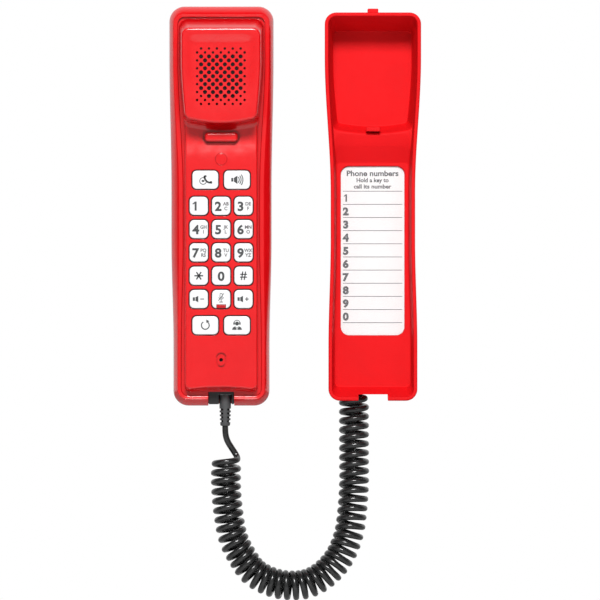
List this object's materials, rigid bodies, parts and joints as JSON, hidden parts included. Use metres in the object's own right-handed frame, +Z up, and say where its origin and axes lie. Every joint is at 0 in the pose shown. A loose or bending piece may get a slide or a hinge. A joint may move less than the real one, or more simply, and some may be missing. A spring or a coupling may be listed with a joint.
{
  "type": "slimline wall phone",
  "caption": "Red slimline push-button handset with keypad beside its open wall cradle with number card, joined by a black curly cord.",
  "frame": {"origin": "middle of the cradle's back on the wall plane, halfway between its two keyholes", "axes": "+Z up along the phone's length, +Y into the wall (the phone faces -Y), +X to the right seen from the front"},
  "size_m": [0.1355, 0.049, 0.3201],
  "materials": {
    "red_plastic": "glossy moulded plastic",
    "white_key": "satin moulded plastic with printed legends",
    "red_lens": "tinted translucent lens",
    "black_plastic": "moulded",
    "cord_black": "satin cord jacket",
    "clear_plug": "clear moulded plug",
    "clear_plastic": "clear sheet",
    "card_paper": "printed paper",
    "silicone": "silicone rubber",
    "circuit_board": "solder mask",
    "steel": "plated",
    "cloth": "woven dust cloth",
    "foam": "soft foam",
    "wire_red": "insulated wire"
  },
  "bodies": {
    "cradle": {"cradle_shell": "red_plastic", "cradle_back_cover": "red_plastic", "cradle_board": "circuit_board", "cradle_cord_jack": "black_plastic", "network_jack": "black_plastic", "number_card": "card_paper", "card_window": "clear_plastic", "cover_screws": "steel", "cradle_cord_plug": "clear_plug", "cord_coil": "cord_black", "cord_lead": "cord_black"},
    "handset": {"handset_rear_shell": "red_plastic", "handset_front_shell": "red_plastic", "earpiece_cloth": "cloth", "earpiece_gasket": "foam", "earpiece_speaker": "steel", "speaker_wires": "wire_red", "hook_spring": "steel", "hook_microswitch": "black_plastic", "message_lamp": "red_lens", "keypad_mat": "silicone", "handset_board": "circuit_board", "ringer_sounder": "black_plastic", "microphone": "steel", "microphone_boot": "foam", "handset_cord_jack": "black_plastic", "handset_screws": "steel", "handset_cord_plug": "clear_plug", "handset_cord_boot": "cord_black"},
    "hook_plunger": {"hook_plunger": "red_plastic"},
    "key_message": {"key_message": "white_key"},
    "key_loudspeaker": {"key_loudspeaker": "white_key"},
    "key_1": {"key_1": "white_key"},
    "key_2": {"key_2": "white_key"},
    "key_3": {"key_3": "white_key"},
    "key_4": {"key_4": "white_key"},
    "key_5": {"key_5": "white_key"},
    "key_6": {"key_6": "white_key"},
    "key_7": {"key_7": "white_key"},
    "key_8": {"key_8": "white_key"},
    "key_9": {"key_9": "white_key"},
    "key_star": {"key_star": "white_key"},
    "key_0": {"key_0": "white_key"},
    "key_hash": {"key_hash": "white_key"},
    "key_volume_down": {"key_volume_down": "white_key"},
    "key_mute": {"key_mute": "white_key", "mute_lamp": "red_lens"},
    "key_volume_up": {"key_volume_up": "white_key"},
    "key_redial": {"key_redial": "white_key"},
    "key_operator": {"key_operator": "white_key"}
  },
  "joints": [
    {"name": "handset_dock", "type": "hinge", "parent": "cradle", "child": "handset", "pos_m": [-0.04075, -0.03115, 0], "axis": [0, 0, 1], "range_deg": [0, 180]},
    {"name": "hook_press", "type": "slide", "parent": "handset", "child": "hook_plunger", "axis": [0, 1, 0], "range_m": [0, 0.0022], "stiffness_N_per_m": 300, "deforming": ["hook_spring"]},
    {"name": "key_message_press", "type": "slide", "parent": "handset", "child": "key_message", "axis": [0, 1, 0], "range_m": [0, 0.0012], "stiffness_N_per_m": 400, "deforming": ["keypad_mat"]},
    {"name": "key_loudspeaker_press", "type": "slide", "parent": "handset", "child": "key_loudspeaker", "axis": [0, 1, 0], "range_m": [0, 0.0012], "stiffness_N_per_m": 400, "deforming": ["keypad_mat"]},
    {"name": "key_1_press", "type": "slide", "parent": "handset", "child": "key_1", "axis": [0, 1, 0], "range_m": [0, 0.0012], "stiffness_N_per_m": 400, "deforming": ["keypad_mat"]},
    {"name": "key_2_press", "type": "slide", "parent": "handset", "child": "key_2", "axis": [0, 1, 0], "range_m": [0, 0.0012], "stiffness_N_per_m": 400, "deforming": ["keypad_mat"]},
    {"name": "key_3_press", "type": "slide", "parent": "handset", "child": "key_3", "axis": [0, 1, 0], "range_m": [0, 0.0012], "stiffness_N_per_m": 400, "deforming": ["keypad_mat"]},
    {"name": "key_4_press", "type": "slide", "parent": "handset", "child": "key_4", "axis": [0, 1, 0], "range_m": [0, 0.0012], "stiffness_N_per_m": 400, "deforming": ["keypad_mat"]},
    {"name": "key_5_press", "type": "slide", "parent": "handset", "child": "key_5", "axis": [0, 1, 0], "range_m": [0, 0.0012], "stiffness_N_per_m": 400, "deforming": ["keypad_mat"]},
    {"name": "key_6_press", "type": "slide", "parent": "handset", "child": "key_6", "axis": [0, 1, 0], "range_m": [0, 0.0012], "stiffness_N_per_m": 400, "deforming": ["keypad_mat"]},
    {"name": "key_7_press", "type": "slide", "parent": "handset", "child": "key_7", "axis": [0, 1, 0], "range_m": [0, 0.0012], "stiffness_N_per_m": 400, "deforming": ["keypad_mat"]},
    {"name": "key_8_press", "type": "slide", "parent": "handset", "child": "key_8", "axis": [0, 1, 0], "range_m": [0, 0.0012], "stiffness_N_per_m": 400, "deforming": ["keypad_mat"]},
    {"name": "key_9_press", "type": "slide", "parent": "handset", "child": "key_9", "axis": [0, 1, 0], "range_m": [0, 0.0012], "stiffness_N_per_m": 400, "deforming": ["keypad_mat"]},
    {"name": "key_star_press", "type": "slide", "parent": "handset", "child": "key_star", "axis": [0, 1, 0], "range_m": [0, 0.0012], "stiffness_N_per_m": 400, "deforming": ["keypad_mat"]},
    {"name": "key_0_press", "type": "slide", "parent": "handset", "child": "key_0", "axis": [0, 1, 0], "range_m": [0, 0.0012], "stiffness_N_per_m": 400, "deforming": ["keypad_mat"]},
    {"name": "key_hash_press", "type": "slide", "parent": "handset", "child": "key_hash", "axis": [0, 1, 0], "range_m": [0, 0.0012], "stiffness_N_per_m": 400, "deforming": ["keypad_mat"]},
    {"name": "key_volume_down_press", "type": "slide", "parent": "handset", "child": "key_volume_down", "axis": [0, 1, 0], "range_m": [0, 0.0012], "stiffness_N_per_m": 400, "deforming": ["keypad_mat"]},
    {"name": "key_mute_press", "type": "slide", "parent": "handset", "child": "key_mute", "axis": [0, 1, 0], "range_m": [0, 0.0012], "stiffness_N_per_m": 400, "deforming": ["keypad_mat"]},
    {"name": "key_volume_up_press", "type": "slide", "parent": "handset", "child": "key_volume_up", "axis": [0, 1, 0], "range_m": [0, 0.0012], "stiffness_N_per_m": 400, "deforming": ["keypad_mat"]},
    {"name": "key_redial_press", "type": "slide", "parent": "handset", "child": "key_redial", "axis": [0, 1, 0], "range_m": [0, 0.0012], "stiffness_N_per_m": 400, "deforming": ["keypad_mat"]},
    {"name": "key_operator_press", "type": "slide", "parent": "handset", "child": "key_operator", "axis": [0, 1, 0], "range_m": [0, 0.0012], "stiffness_N_per_m": 400, "deforming": ["keypad_mat"]}
  ]
}
